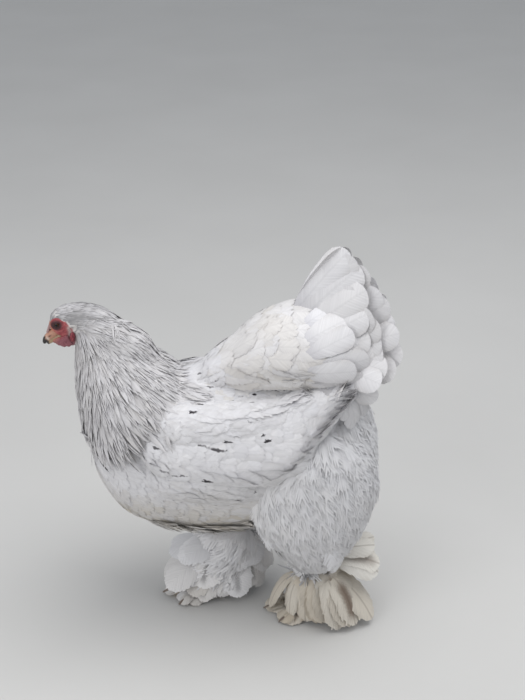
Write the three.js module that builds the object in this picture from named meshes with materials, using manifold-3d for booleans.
// A Brahma hen standing with one foot forward, life size, as a still model of separate solids.
// Millimetres. +X points to the tail, -X to the bill, -Y to the bird's left side, +Z up from the floor.

import * as THREE from "three";
import Module from "manifold-3d";

const wasm = await Module();
wasm.setup();

// Driving sizes
const GAP = 0.3; // between solids that touch
const HEAD_AT = [-204, 448]; // x and z of the middle of the head
const HEAD_PITCH = 28; // degrees that the bill points below level
const EYE = { x: 7, y: 13.2, z: 6, radius: 5.4 }; // in the head's own frame
const EAR = { x: -8, y: 17, z: -8 };
const TAIL_ROOT = [112, 402]; // x and z where the tail quills meet
const LEFT_LEG = { hock: [126, -38, 98], foot: [122, -28, 8], shank: 20, round: [80, 256] };
const RIGHT_LEG = { hock: [11, 30, 98], foot: [-26, 14, 8], shank: 33, round: [-150, 60] };
const TOE_HEIGHT = 4.8; // of the middle of a toe over the floor, less than its radius, so that its sole is flat
const LEFT = -1;
const RIGHT = 1;

const rad = THREE.MathUtils.degToRad;
const vec = (x, y, z) => new THREE.Vector3(x, y, z);
const lerp = THREE.MathUtils.lerp;

// A repeatable draw from 0 to 1
let drawState = 20251;
function draw() {
  drawState = (drawState * 16807) % 2147483647;
  return drawState / 2147483647;
}
const vary = (value, share) => value * (1 + share * (2 * draw() - 1));

// Rows of numbers, blended smoothly at a place from 0 to 1 along them
function blend(rows, place) {
  const last = rows.length - 1;
  const along = THREE.MathUtils.clamp(place, 0, 1) * last;
  const k = Math.min(Math.floor(along), last - 1);
  const f = along - k;
  const [a, b, c, d] = [k - 1, k, k + 1, k + 2].map((i) => rows[THREE.MathUtils.clamp(i, 0, last)]);
  return b.map(
    (_, i) =>
      b[i] +
      0.5 * f * (c[i] - a[i] + f * (2 * a[i] - 5 * b[i] + 4 * c[i] - d[i] + f * (3 * (b[i] - c[i]) + d[i] - a[i]))),
  );
}

// A closed surface of points and triangles, turned so that its faces point out
function shape(points, faces) {
  const volume = faces.reduce((sum, [a, b, c]) => {
    const p = points[a];
    const q = points[b];
    const r = points[c];
    return sum + p.dot(q.clone().cross(r));
  }, 0);
  return { points, faces: volume < 0 ? faces.map(([a, b, c]) => [a, c, b]) : faces };
}

// The same surface moved out by a distance
function grown({ points, faces }, distance) {
  const normals = points.map(() => vec(0, 0, 0));
  for (const [a, b, c] of faces) {
    const n = points[b].clone().sub(points[a]).cross(points[c].clone().sub(points[a])).normalize();
    normals[a].add(n);
    normals[b].add(n);
    normals[c].add(n);
  }
  return { points: points.map((p, i) => p.clone().addScaledVector(normals[i].normalize(), distance)), faces };
}

function solid({ points, faces }) {
  return new wasm.Manifold(
    new wasm.Mesh({
      numProp: 3,
      vertProperties: new Float32Array(points.flatMap((p) => p.toArray())),
      triVerts: new Uint32Array(faces.flat()),
    }),
  );
}

const joined = (shapes, distance = 0) =>
  shapes.map((s) => solid(distance ? grown(s, distance) : s)).reduce((all, s) => all.add(s));

const cut = (body, ...others) => others.reduce((left, other) => left.subtract(other), body);

const largest = (body) => body.decompose().reduce((best, b) => (b.volume() > best.volume() ? b : best));

// A rounded body along a line of stations, each [x, y, z, half width, height up, height down, roll in degrees].
// Its ends are round over the shares of its length in ends. Upright rings stay square to X.
class Form {
  constructor(stations, { ends = [0.2, 0.2], rings = 14, sides = 16, upright = false } = {}) {
    Object.assign(this, { stations: stations.map((s) => [...s, 0].slice(0, 7)), ends, rings, sides, upright });
  }
  swell(t) {
    const [front, back] = this.ends;
    const f = t < front ? 1 - t / front : t > 1 - back ? 1 - (1 - t) / back : 0;
    return Math.sqrt(Math.max(0, 1 - f * f));
  }
  frame(t) {
    const row = blend(this.stations, t);
    const step = 0.01;
    const ahead = blend(this.stations, Math.min(1, t + step));
    const behind = blend(this.stations, Math.max(0, t - step));
    const along = this.upright ? vec(1, 0, 0) : vec(...[0, 1, 2].map((i) => ahead[i] - behind[i])).normalize();
    const side = vec(0, 1, 0).addScaledVector(along, -along.y).normalize();
    side.applyAxisAngle(along, rad(row[6]));
    return { centre: vec(row[0], row[1], row[2]), along, side, up: along.clone().cross(side), row };
  }
  // The point on the surface at a place t along the line and an angle round it
  point(t, angle, lift = 0) {
    const { centre, side, up, row } = this.frame(t);
    const s = this.swell(t);
    const [c, h] = [Math.cos(rad(angle)), Math.sin(rad(angle))];
    const p = centre
      .addScaledVector(side, c * row[3] * s)
      .addScaledVector(up, h * (h > 0 ? row[4] : row[5]) * s);
    return lift ? p.addScaledVector(this.normal(t, angle), lift) : p;
  }
  normal(t, angle) {
    const at = THREE.MathUtils.clamp(t, 0.02, 0.98);
    const along = this.point(at + 0.01, angle).sub(this.point(at - 0.01, angle));
    const round = this.point(at, angle + 2).sub(this.point(at, angle - 2));
    return round.cross(along).normalize();
  }
  shape() {
    const { rings, sides } = this;
    const points = [this.point(0, 0)];
    for (let k = 1; k < rings; k++) {
      const t = (1 - Math.cos((Math.PI * k) / rings)) / 2;
      for (let i = 0; i < sides; i++) points.push(this.point(t, (360 * i) / sides));
    }
    points.push(this.point(1, 0));
    const last = points.length - 1;
    const faces = [];
    for (let i = 0; i < sides; i++) {
      const j = (i + 1) % sides;
      faces.push([0, 1 + i, 1 + j], [last, last - sides + j, last - sides + i]);
      for (let k = 0; k < rings - 2; k++) {
        const [a, b] = [1 + k * sides, 1 + (k + 1) * sides];
        faces.push([a + i, b + i, b + j], [a + i, b + j, a + j]);
      }
    }
    return shape(points, faces);
  }
}

// Places along a vane and its share of the full width there
const ROUND_TIP = [[0, 0.45], [0.3, 0.85], [0.65, 1], [0.88, 0.8], [1, 0.3]];
const POINTED_TIP = [[0, 0.6], [0.4, 1], [0.75, 0.7], [1, 0.12]];

// A feather as a thin curved strip. line gives its middle from 0 at the root to 1 at the tip, and face its outer side.
// A flat one has 4 points round it and an arched one 6, with the same triangles on both sides.
function vane(line, face, { width, thick = 1, arch = 0, outline = ROUND_TIP }) {
  const across = arch ? [-1, 0, 1] : [-1, 1];
  const n = across.length;
  const points = [];
  for (const [t, share] of outline) {
    const step = 0.02;
    const along = line(Math.min(1, t + step)).sub(line(Math.max(0, t - step))).normalize();
    const out = face(t);
    out.addScaledVector(along, -out.dot(along)).normalize();
    const side = along.clone().cross(out);
    for (const top of [1, -1]) {
      for (const a of across) {
        const height = (top * thick) / 2 + (a ? 0 : arch * share);
        points.push(line(t).addScaledVector(side, (a * width * share) / 2).addScaledVector(out, height));
      }
    }
  }
  const faces = [];
  const quad = (a, b, c, d) => faces.push([a, b, c], [a, c, d]);
  const last = 2 * n * (outline.length - 1);
  for (let a = 0; a < last; a += 2 * n) {
    const b = a + 2 * n;
    for (let i = 0; i < n - 1; i++) {
      quad(a + i, a + i + 1, b + i + 1, b + i);
      faces.push([a + n + i, b + n + i + 1, a + n + i + 1], [a + n + i, b + n + i, b + n + i + 1]);
    }
    quad(a, b, b + n, a + n);
    quad(a + n - 1, a + 2 * n - 1, b + 2 * n - 1, b + n - 1);
  }
  for (let i = 0; i < n - 1; i++) {
    quad(i, n + i, n + i + 1, i + 1);
    quad(last + i, last + i + 1, last + n + i + 1, last + n + i);
  }
  return shape(points, faces);
}

// A feather that lies on a form, from [t, angle, lift] at its root to the same at its tip
function vaneOn(form, root, tip, sizes) {
  const place = (s) => root.map((r, i) => lerp(r, tip[i], s));
  return vane(
    (s) => form.point(...place(s)),
    (s) => form.normal(...place(s)),
    sizes,
  );
}

// A feather that bends from a root, past a middle point, to a tip
function vaneBetween(root, middle, tip, face, sizes) {
  const curve = new THREE.QuadraticBezierCurve3(root, middle, tip);
  return vane(
    (s) => curve.getPoint(s),
    () => face.clone(),
    sizes,
  );
}

const mirrored = (side, s) => (side === LEFT ? s : shape(s.points.map((p) => vec(p.x, -p.y, p.z)), s.faces));

function ball(at, radius, { stretch = [1, 1, 1], detail = 2 } = {}) {
  const form = new Form(
    [
      [at.x - radius * stretch[0], at.y, at.z, radius * stretch[1], radius * stretch[2], radius * stretch[2]],
      [at.x + radius * stretch[0], at.y, at.z, radius * stretch[1], radius * stretch[2], radius * stretch[2]],
    ],
    { ends: [0.5, 0.5], rings: 2 + 2 * detail, sides: 4 + 4 * detail },
  );
  return form.shape();
}

// Torso
const torso = new Form(
  [
    [-184, 0, 258, 56, 60, 64],
    [-140, 0, 258, 76, 86, 96],
    [-90, 0, 260, 92, 110, 116],
    [-30, 0, 264, 98, 120, 127],
    [30, 0, 272, 99, 122, 131],
    [90, 0, 284, 96, 118, 128],
    [140, 0, 292, 88, 104, 112],
    [182, 0, 294, 72, 86, 92],
  ],
  { ends: [0.2, 0.24], rings: 15, sides: 22, upright: true },
);

// Neck with its cape of hackle feathers
const neck = new Form(
  [
    [-187, 0, 456, 17, 19, 18],
    [-174, 0, 436, 27, 36, 30],
    [-158, 0, 404, 45, 54, 46],
    [-142, 0, 370, 70, 68, 64],
    [-126, 0, 341, 90, 80, 80],
    [-112, 0, 316, 99, 84, 90],
  ],
  { ends: [0.14, 0.12], rings: 13, sides: 18 },
);

// Cushion of saddle feathers before the tail
const saddle = new Form(
  [
    [2, 0, 380, 34, 34, 22],
    [40, 0, 392, 62, 58, 30],
    [82, 0, 402, 76, 70, 40],
    [124, 0, 406, 78, 70, 46],
    [160, 0, 404, 66, 58, 46],
    [180, 0, 400, 52, 46, 40],
  ],
  { ends: [0.22, 0.22], rings: 12, sides: 18, upright: true },
);

// Fluff of the abdomen, behind and between the thighs
const fluff = new Form(
  [
    [60, 0, 245, 80, 90, 100],
    [110, 0, 248, 95, 105, 112],
    [160, 0, 250, 92, 108, 112],
    [214, 0, 250, 74, 92, 92],
  ],
  { ends: [0.3, 0.34], rings: 12, sides: 20, upright: true },
);

const thigh = (stations) => new Form(stations, { ends: [0.22, 0.2], rings: 11, sides: 16 });
const thighLeft = thigh([
  [106, -52, 330, 44, 70, 62],
  [112, -56, 272, 54, 90, 84],
  [118, -58, 218, 56, 96, 92],
  [124, -56, 165, 50, 74, 78],
  [125, -48, 115, 36, 44, 48],
  [124, -42, 84, 24, 26, 28],
]);
const thighRight = thigh([
  [70, 52, 330, 44, 64, 58],
  [68, 56, 272, 54, 80, 76],
  [62, 58, 218, 56, 80, 78],
  [52, 52, 165, 48, 62, 64],
  [34, 42, 118, 32, 36, 38],
  [24, 34, 90, 22, 24, 24],
]);

// Wing folded on the side. The stations are the left wing's.
const wing = new Form(
  [
    [-112, -74, 312, 11, 24, 24, -24],
    [-66, -87, 306, 15, 42, 40, -24],
    [-5, -91, 308, 17, 48, 46, -22],
    [60, -88, 318, 17, 50, 54, -22],
    [112, -78, 354, 14, 32, 34, -24],
    [146, -70, 372, 10, 16, 20, -26],
    [170, -64, 380, 7, 9, 11, -26],
  ],
  { ends: [0.18, 0.16], rings: 12, sides: 12 },
);

const WING_TIERS = [
  { count: 5, angles: [234, 170], tips: [0.76, 1.0], length: 0.5, width: 28, lift: 7 },
  { count: 4, angles: [224, 160], tips: [0.5, 0.7], length: 0.3, width: 32, lift: 9 },
];

function wingShapes() {
  const made = [wing.shape()];
  for (const { count, angles, tips, length, width, lift } of WING_TIERS) {
    for (let i = 0; i < count; i++) {
      const s = i / (count - 1);
      const angle = lerp(...angles, s);
      const t = lerp(...tips, s);
      const sizes = { width: vary(width, 0.06), thick: 2 };
      made.push(vaneOn(wing, [t - length, angle, -2], [t, angle - 2, lift], sizes));
    }
  }
  return made;
}

// Tail: main feathers fanned on both sides of a ridge, and two tiers of coverts over their roots
const TAIL_TIERS = [
  { count: 7, rise: [68, 2], splay: [3, 26], length: [149, 118], width: 46, lift: 0 },
  { count: 5, rise: [58, -2], splay: [8, 34], length: [114, 90], width: 44, lift: 7 },
];

function tailShapes() {
  const root = vec(TAIL_ROOT[0], 0, TAIL_ROOT[1]);
  const core = new Form(
    [
      [TAIL_ROOT[0] - 10, 0, TAIL_ROOT[1] - 6, 20, 20, 20],
      [TAIL_ROOT[0] + 30, 0, TAIL_ROOT[1] + 8, 34, 44, 38],
      [TAIL_ROOT[0] + 72, 0, TAIL_ROOT[1] + 18, 30, 52, 44],
    ],
    { ends: [0.3, 0.4], rings: 8, sides: 12, upright: true },
  );
  const made = [core.shape()];
  for (const side of [LEFT, RIGHT]) {
    for (const { count, rise, splay, length, width, lift } of TAIL_TIERS) {
      for (let i = 0; i < count; i++) {
        const s = i / (count - 1);
        const up = rad(lerp(...rise, s));
        const out = rad(lerp(...splay, s));
        const reach = vary(lerp(...length, s), 0.03);
        const along = vec(Math.cos(up), side * Math.tan(out), Math.sin(up));
        const face = vec(-Math.sin(up) * 0.5, side, Math.cos(up) * 0.5).normalize();
        const start = root.clone().addScaledVector(face, 3 + lift + 2.2 * (1 - s));
        const bend = start.clone().addScaledVector(along, reach * 0.55).addScaledVector(face, 5);
        const tip = start.clone().addScaledVector(along, reach);
        made.push(vaneBetween(start, bend, tip, face, { width: vary(width, 0.05), thick: 1.2, arch: 3 }));
      }
    }
  }
  return made;
}

// Shanks feathered to the toes
function shankForm({ hock, foot, shank }) {
  const [a, b] = [vec(...hock), vec(...foot)];
  const at = (s, r) => [...a.clone().lerp(b, s).toArray(), r, r, r];
  return new Form([at(-0.1, shank * 0.9), at(0.2, shank), at(0.6, shank * 0.9), at(0.95, 13)], {
    ends: [0.2, 0.2],
    rings: 8,
    sides: 12,
  });
}

// Rows of foot feathers down the shank. Those of the upper row trail back from the hock.
const BOOT_ROWS = [
  { t: 0.2, length: [66, 34], drop: [0.35, 0.7], count: 5 },
  { t: 0.5, length: [66, 44], drop: [0.6, 0.6], count: 6 },
  { t: 0.8, length: [54, 46], drop: [0.6, 0.5], count: 6 },
];

// round gives the angles of the first and last feather of a row, 90 behind and 270 or -90 in front
function shankShapes(leg) {
  const form = shankForm(leg);
  const made = [form.shape()];
  for (const { t, length, drop, count } of BOOT_ROWS) {
    for (let i = 0; i < count; i++) {
      const angle = lerp(...leg.round, i / (count - 1));
      const root = form.point(t, angle, -3);
      const out = form.normal(t, angle);
      const behind = (1 + out.x) / 2;
      const reach = vary(lerp(length[1], length[0], behind) * (1 - 0.2 * Math.abs(out.y)), 0.08);
      const tip = root.clone().addScaledVector(out, reach).add(vec(0, 0, -reach * lerp(drop[1], drop[0], behind)));
      tip.z = Math.max(tip.z, 3);
      const middle = root.clone().addScaledVector(out, reach * 0.5).add(vec(0, 0, 2));
      made.push(vaneBetween(root, middle, tip, vec(0, 0, 1), { width: vary(20, 0.1), thick: 1.2 }));
    }
  }
  return made;
}

// Toes, each with its length, its turn from straight ahead towards the bird's outer side, and its claw's length
const TOES = [
  { name: "inner", length: 42, turn: -38, claw: 11 },
  { name: "middle", length: 55, turn: -2, claw: 12 },
  { name: "outer", length: 44, turn: 34, claw: 11 },
  { name: "hind", length: 23, turn: 200, claw: 10 },
];

function toeLine({ foot }, side, { length, turn }, reach = 1) {
  const yaw = rad(turn);
  const along = vec(-Math.cos(yaw), side * Math.sin(yaw), 0);
  const root = vec(foot[0], foot[1], TOE_HEIGHT);
  return { root, along, tip: root.clone().addScaledVector(along, length * reach) };
}

function toeShapes(leg, side) {
  const made = [];
  for (const toe of TOES) {
    const { root, tip } = toeLine(leg, side, toe);
    const row = (s, r) => [...root.clone().lerp(tip, s).toArray(), r, r, r];
    const form = new Form([row(-0.1, 6.6), row(0.35, 6), row(0.7, 5.8), row(1, 5.5)], {
      ends: [0.15, 0.2],
      rings: 7,
      sides: 8,
    });
    made.push(form.shape());
  }
  for (const toe of TOES.filter((t) => t.name === "outer" || t.name === "middle")) {
    for (let i = 0; i < 3; i++) {
      const { along, tip: root } = toeLine(leg, side, toe, 0.3 + 0.25 * i);
      const out = vec(0, side, 0).lerp(along, 0.5).normalize();
      const reach = vary(22, 0.1);
      const tip = root.clone().addScaledVector(out, reach);
      tip.z = 2.5;
      const middle = root.clone().addScaledVector(out, reach * 0.5).add(vec(0, 0, 6));
      made.push(vaneBetween(root, middle, tip, vec(0, 0, 1), { width: vary(17, 0.1), thick: 1.2 }));
    }
  }
  return made;
}

function clawShape(leg, side, toe) {
  const { root, along, tip } = toeLine(leg, side, toe);
  const [start, end] = [tip.clone().addScaledVector(along, -3), tip.clone().addScaledVector(along, toe.claw)];
  const row = (s, r, drop) => [start.x + (end.x - start.x) * s, start.y + (end.y - start.y) * s, root.z + 1 - drop, r, r, r];
  return new Form([row(0, 3.4, 0), row(0.5, 2.5, 0.6), row(1, 1, 3.4)], { ends: [0.2, 0.1], rings: 6, sides: 8 }).shape();
}

// Head. Places in it are x ahead, y to the bird's right and z up, before it is pitched down.
function inHead(x, y, z) {
  const [c, s] = [Math.cos(rad(HEAD_PITCH)), Math.sin(rad(HEAD_PITCH))];
  return vec(HEAD_AT[0] - c * x - s * z, y, HEAD_AT[1] - s * x + c * z);
}
const headStations = (rows) => rows.map(([x, z, ...sizes]) => [...inHead(x, 0, z).toArray(), ...sizes]);

const skull = new Form(
  headStations([
    [-58, -26, 14, 13, 10],
    [-43, -8, 15, 14, 9],
    [-29, 0, 17, 18, 13.5],
    [-14, 1, 19.5, 23, 20.5],
    [2, 0, 18.5, 25, 22.5],
    [13, -3, 14, 21, 17.5],
    [23, -7, 8, 10, 9],
  ]),
  { ends: [0.16, 0.12], rings: 12, sides: 15 },
);
const billUpper = new Form(
  headStations([
    [12, -3, 8.5, 8, 5],
    [24, -5, 7, 8, 4.5],
    [33, -7.5, 5, 6.5, 4],
    [39, -10.5, 3.4, 4.5, 3],
    [42, -14.5, 1.6, 2, 1.6],
  ]),
  { ends: [0.2, 0.08], rings: 11, sides: 10 },
);
const billLower = new Form(
  headStations([
    [12, -13, 7.5, 5, 4.5],
    [24, -14, 5.5, 4, 5],
    [33, -15.5, 3.6, 2.6, 4.5],
    [38, -16.5, 2, 1.4, 3.5],
  ]),
  { ends: [0.2, 0.1], rings: 9, sides: 10 },
);

function combShapes() {
  const made = [];
  for (let i = 0; i < 5; i++) {
    const s = i / 4;
    for (const y of [-4, 0, 4]) {
      const size = (y ? 2.1 : 2.9) * (1 - 0.3 * Math.abs(s - 0.5));
      made.push(ball(inHead(lerp(28, 15, s), y, lerp(-0.5, 14, s) - (y ? 1.6 : 0)), size, { detail: 1, stretch: [1.1, 1, 1.1] }));
    }
  }
  return made;
}

// A fold of skin round a place on the side of the head
function ringShape(side, { x, y, z }, [wide, high], thick) {
  const [steps, sides] = [12, 4];
  const points = [];
  const faces = [];
  for (let k = 0; k < steps; k++) {
    const turn = (2 * Math.PI * k) / steps;
    for (let i = 0; i < sides; i++) {
      const round = (2 * Math.PI * i) / sides;
      const r = thick * Math.cos(round);
      const place = [x + Math.cos(turn) * (wide + r), side * (y + thick * Math.sin(round)), z + Math.sin(turn) * (high + r)];
      points.push(inHead(...place));
      const [a, b] = [k * sides, ((k + 1) % steps) * sides];
      const j = (i + 1) % sides;
      faces.push([a + i, b + i, b + j], [a + i, b + j, a + j]);
    }
  }
  return shape(points, faces);
}

const lobeShape = (side) => ball(inHead(-3, side * 14, -20), 5.5, { stretch: [0.8, 0.5, 1.4] });
const eyeShape = (side) => ball(inHead(EYE.x, side * EYE.y, EYE.z), EYE.radius, { detail: 2 });
const lidShape = (side) => ringShape(side, { ...EYE, y: EYE.y + 2.6 }, [EYE.radius * 0.92, EYE.radius * 0.8], 1.3);
const earShape = (side) => ringShape(side, EAR, [4.2, 5], 1.6);
const earCup = (side) => ball(inHead(EAR.x, side * (EAR.y + 1.5), EAR.z), 3, { detail: 1 });
const nostril = (side) => ball(inHead(27, side * 6.3, -6), 1.8, { stretch: [1.4, 1, 0.7], detail: 1 });

// Two folds of each small wattle, one over the other
const wattleShapes = (side) => [
  ball(inHead(19, side * 6, -22), 7.5, { stretch: [1, 0.5, 1] }),
  ball(inHead(11, side * 8, -26), 8.5, { stretch: [0.9, 0.5, 1] }),
];

// The line of the mouth goes on into the face as a groove
function mouthShape(side) {
  const [corner, front] = [inHead(12, side * 14, -13), inHead(28, side * 6.5, -11.5)];
  const middle = inHead(20, side * 11, -11.5);
  return vaneBetween(corner, middle, front, vec(0, side, 0), { width: 1.2, thick: 7 });
}

function headSolid() {
  const bothSides = (make) => [LEFT, RIGHT].map((side) => make(side));
  const flesh = joined([skull.shape(), ...bothSides(lidShape), ...bothSides(earShape)]);
  const eyes = bothSides((side) => solid(grown(eyeShape(side), GAP)));
  const hollows = bothSides((side) => joined([earCup(side), mouthShape(side)]));
  return cut(flesh, ...eyes, ...hollows);
}

// Assembly. Each solid is cut clear of those that it grows from.
const hen = new THREE.Group();

function add(name, body, colour, roughness = 0.9) {
  const { vertProperties, triVerts } = largest(body).getMesh();
  const geometry = new THREE.BufferGeometry();
  geometry.setAttribute("position", new THREE.BufferAttribute(new Float32Array(vertProperties), 3));
  geometry.setIndex(new THREE.BufferAttribute(new Uint32Array(triVerts), 1));
  geometry.computeVertexNormals();
  const mesh = new THREE.Mesh(geometry, new THREE.MeshStandardMaterial({ color: colour, roughness, metalness: 0 }));
  mesh.name = name;
  hen.add(mesh);
  return body;
}

const PLUMAGE = 0xd9d7dc;
const FLUFF = 0xe6e4e6;
const BOOTS = 0xded4c0;
const SKIN = 0xa8525a;
const HORN = 0x3b3230;
const YELLOW = 0xc9a25e;

const plus = (...shapes) => joined(shapes, GAP);
const torsoOut = plus(torso.shape());
const neckOut = plus(neck.shape());
const saddleOut = plus(saddle.shape());

add("torso", joined([torso.shape()]), PLUMAGE);
add("neck", cut(joined([neck.shape()]), torsoOut), PLUMAGE);
add("saddle", cut(joined([saddle.shape()]), torsoOut), PLUMAGE);
add("tail", cut(joined(tailShapes()), torsoOut, saddleOut), PLUMAGE);

const wingOuts = {};
for (const [side, name] of [[LEFT, "left"], [RIGHT, "right"]]) {
  drawState = 731;
  const shapes = wingShapes().map((s) => mirrored(side, s));
  wingOuts[name] = joined(shapes, GAP);
  add(`wing_${name}`, cut(joined(shapes), torsoOut, neckOut, saddleOut), PLUMAGE);
}
const thighs = { left: thighLeft, right: thighRight };
const thighOuts = {};
for (const name of ["left", "right"]) {
  thighOuts[name] = plus(thighs[name].shape());
  add(`thigh_${name}`, cut(joined([thighs[name].shape()]), torsoOut, wingOuts[name]), FLUFF);
}
add(
  "fluff",
  cut(joined([fluff.shape()]), torsoOut, saddleOut, thighOuts.left, thighOuts.right, wingOuts.left, wingOuts.right),
  FLUFF,
);

const floor = joined([
  shape(
    [-1, 1].flatMap((x) => [-1, 1].flatMap((y) => [-1, 0].map((z) => vec(600 * x, 600 * y, 100 * z)))),
    [[0, 1, 3], [0, 3, 2], [4, 6, 7], [4, 7, 5], [0, 4, 5], [0, 5, 1], [2, 3, 7], [2, 7, 6], [0, 2, 6], [0, 6, 4], [1, 5, 7], [1, 7, 3]],
  ),
]);
let before = floor; // what the second leg's solids are cut clear of
for (const [side, name, leg] of [[LEFT, "left", LEFT_LEG], [RIGHT, "right", RIGHT_LEG]]) {
  const shank = shankShapes(leg);
  const toes = toeShapes(leg, side);
  const claws = TOES.map((toe) => [toe.name, clawShape(leg, side, toe)]);
  const toesOut = joined(toes, GAP);
  add(`shank_${name}`, cut(joined(shank), thighOuts[name], before), BOOTS);
  add(`foot_${name}`, cut(joined(toes), joined(shank, GAP), before), YELLOW);
  for (const [toe, claw] of claws) add(`claw_${name}_${toe}`, cut(solid(claw), toesOut, before), HORN, 0.5);
  before = before.add(joined([...shank, ...toes, ...claws.map((c) => c[1])], GAP));
}

const headOut = plus(skull.shape());
const billUpperOut = plus(billUpper.shape());
const billLowerOut = plus(billLower.shape());
add("head", cut(headSolid(), neckOut), SKIN);
add("bill_upper", cut(joined([billUpper.shape()]), headOut, joined([nostril(LEFT), nostril(RIGHT)])), HORN, 0.5);
add("bill_lower", cut(joined([billLower.shape()]), headOut, billUpperOut), HORN, 0.5);
add("comb", cut(joined(combShapes()), headOut, billUpperOut), SKIN);
for (const [side, name] of [[LEFT, "left"], [RIGHT, "right"]]) {
  add(`eye_${name}`, joined([eyeShape(side)]), HORN, 0.1);
  add(`ear_lobe_${name}`, cut(joined([lobeShape(side)]), headOut, neckOut), SKIN);
  add(`wattle_${name}`, cut(joined(wattleShapes(side)), headOut, neckOut, billLowerOut, plus(lobeShape(side))), SKIN);
}

// The middle of the hen's outline stands over the origin
const box = new THREE.Box3().setFromObject(hen);
for (const mesh of hen.children) mesh.geometry.translate(-(box.min.x + box.max.x) / 2, -(box.min.y + box.max.y) / 2, 0);

export default hen;
